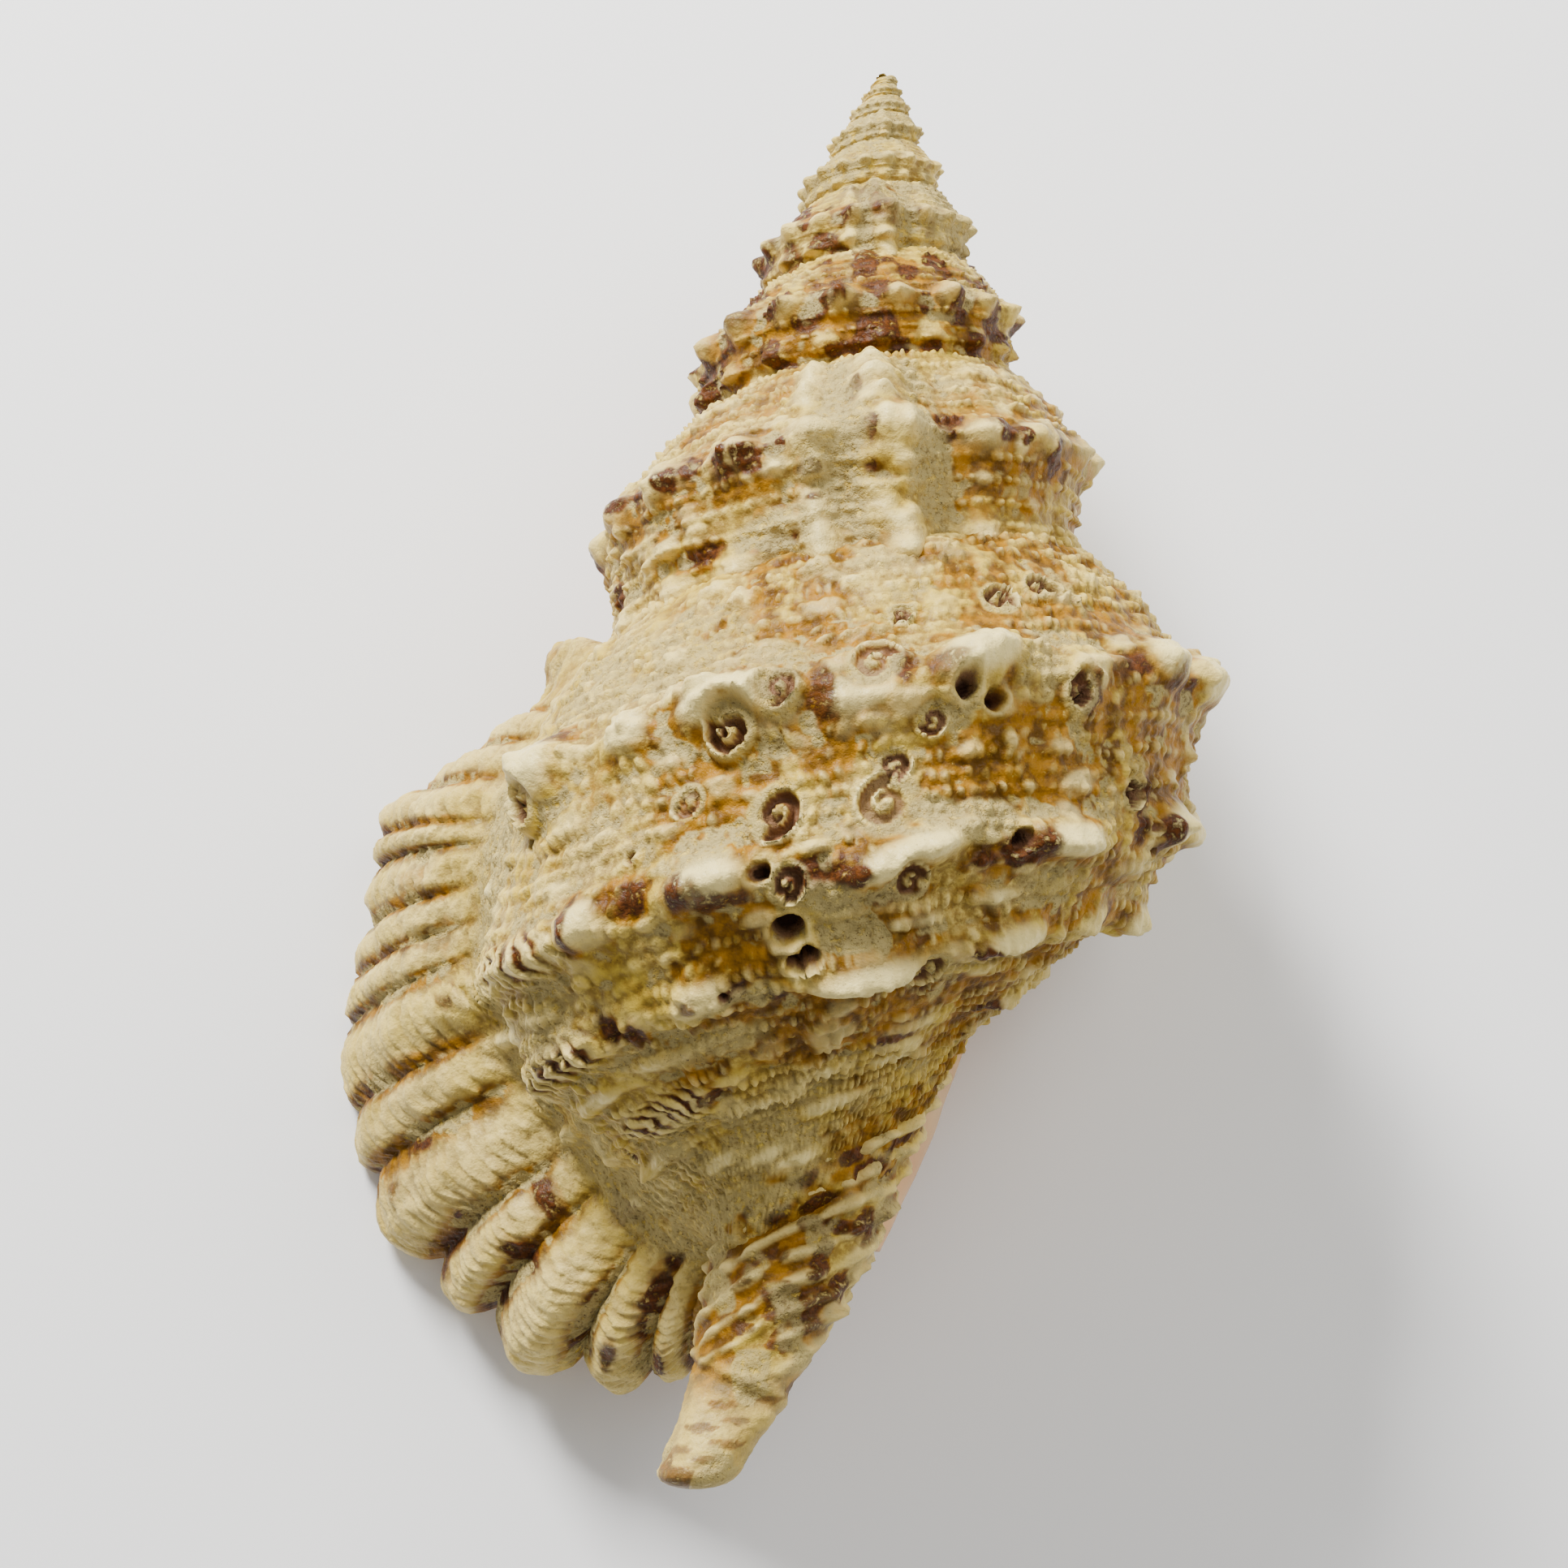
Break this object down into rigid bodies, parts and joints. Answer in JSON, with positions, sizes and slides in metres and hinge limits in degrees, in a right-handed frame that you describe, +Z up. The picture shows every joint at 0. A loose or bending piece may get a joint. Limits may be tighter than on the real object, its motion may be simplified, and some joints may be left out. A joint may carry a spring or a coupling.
{
  "type": "giant frog shell",
  "caption": "Large heavy sea snail shell with a tall knobbed spire, a flared ribbed outer lip and a bent siphonal canal, lying on its aperture.",
  "frame": {"origin": "on the ground under the middle of the shell's box, as it lies on its aperture", "axes": "+Y towards the apex of the spire, +Z up through the back of the last whorl, +X to the right of the outer lip"},
  "size_m": [0.1282, 0.2026, 0.0942],
  "materials": {
    "shell": "matte to satin natural lime, cream with ochre and brown blotches and chalky grey crust"
  },
  "bodies": {
    "root": {"shell": "shell"}
  },
  "joints": []
}
